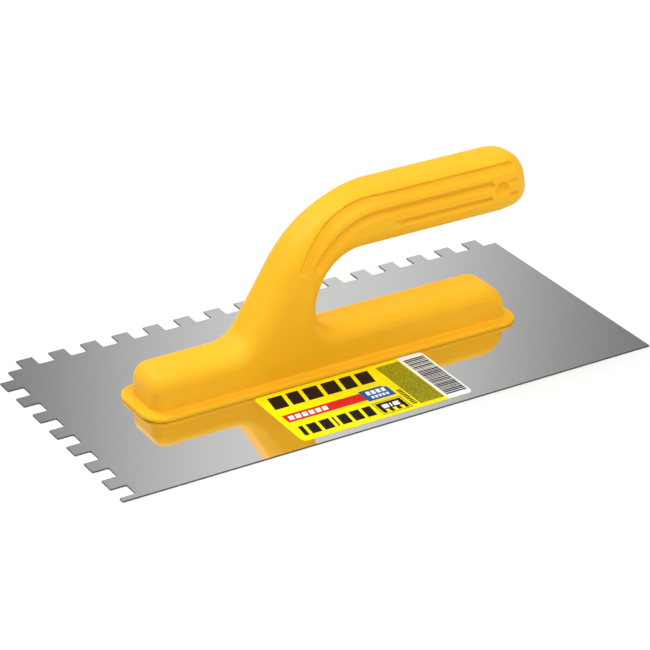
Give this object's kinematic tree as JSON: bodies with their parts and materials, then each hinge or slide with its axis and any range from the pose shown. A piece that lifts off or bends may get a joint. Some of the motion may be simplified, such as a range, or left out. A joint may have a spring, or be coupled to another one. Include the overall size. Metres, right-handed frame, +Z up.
{
  "type": "notched trowel",
  "caption": "Notched trowel for tile adhesive: a flat steel blade with square teeth on one long and one short edge, and a moulded handle on a long hollow base.",
  "frame": {"origin": "middle of the blade's flat underside, on the surface it rests on", "axes": "+X along the blade towards the open end of the grip, +Y towards the long toothed edge, +Z up from the blade to the grip"},
  "size_m": [0.27, 0.13, 0.082],
  "materials": {
    "blade_steel": "polished stainless sheet",
    "handle_plastic": "satin gloss injection moulding",
    "label_film": "coated printed sticker",
    "screw_zinc": "zinc plated"
  },
  "bodies": {
    "root": {"blade": "blade_steel", "handle": "handle_plastic", "size_label": "label_film", "screw_1": "screw_zinc", "screw_2": "screw_zinc", "screw_3": "screw_zinc", "screw_4": "screw_zinc", "screw_5": "screw_zinc", "screw_6": "screw_zinc"}
  },
  "joints": []
}
